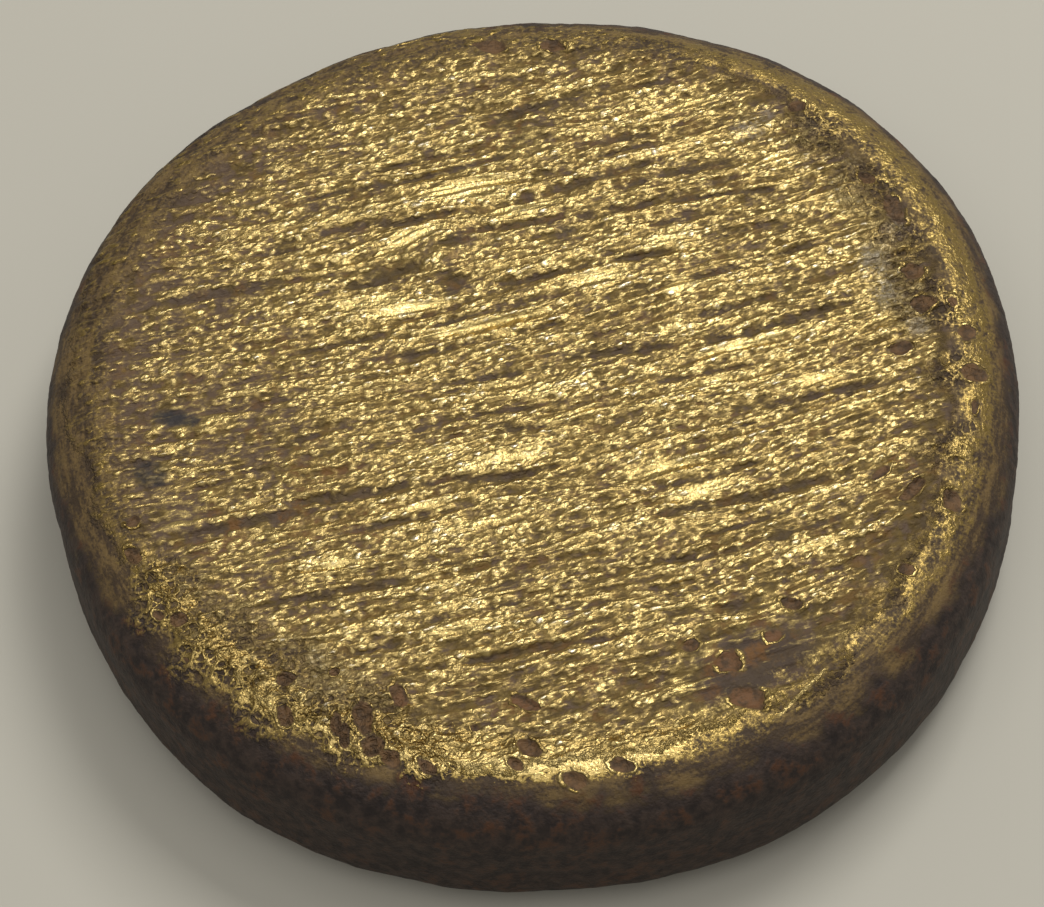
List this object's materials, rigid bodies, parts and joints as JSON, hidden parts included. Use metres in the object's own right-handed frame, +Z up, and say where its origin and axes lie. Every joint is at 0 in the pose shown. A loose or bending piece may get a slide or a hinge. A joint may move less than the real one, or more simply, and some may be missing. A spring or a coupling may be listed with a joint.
{
  "type": "gold ingot",
  "caption": "Thick round cast ingot with a hand-shaped outline, a wood-grained worn gold face, a broad blistered shoulder and a dark oxidised wall, lying on its flat base.",
  "frame": {"origin": "middle of the flat base", "axes": "+Z up through the grained face, +Y away from the viewer of the picture, +X to the viewer's right"},
  "size_m": [0.1596, 0.157, 0.0321],
  "materials": {
    "cast_gold": "worn gold on the raised grain, brown oxide in the hollows and on the wall"
  },
  "bodies": {
    "root": {"ingot": "cast_gold"}
  },
  "joints": []
}
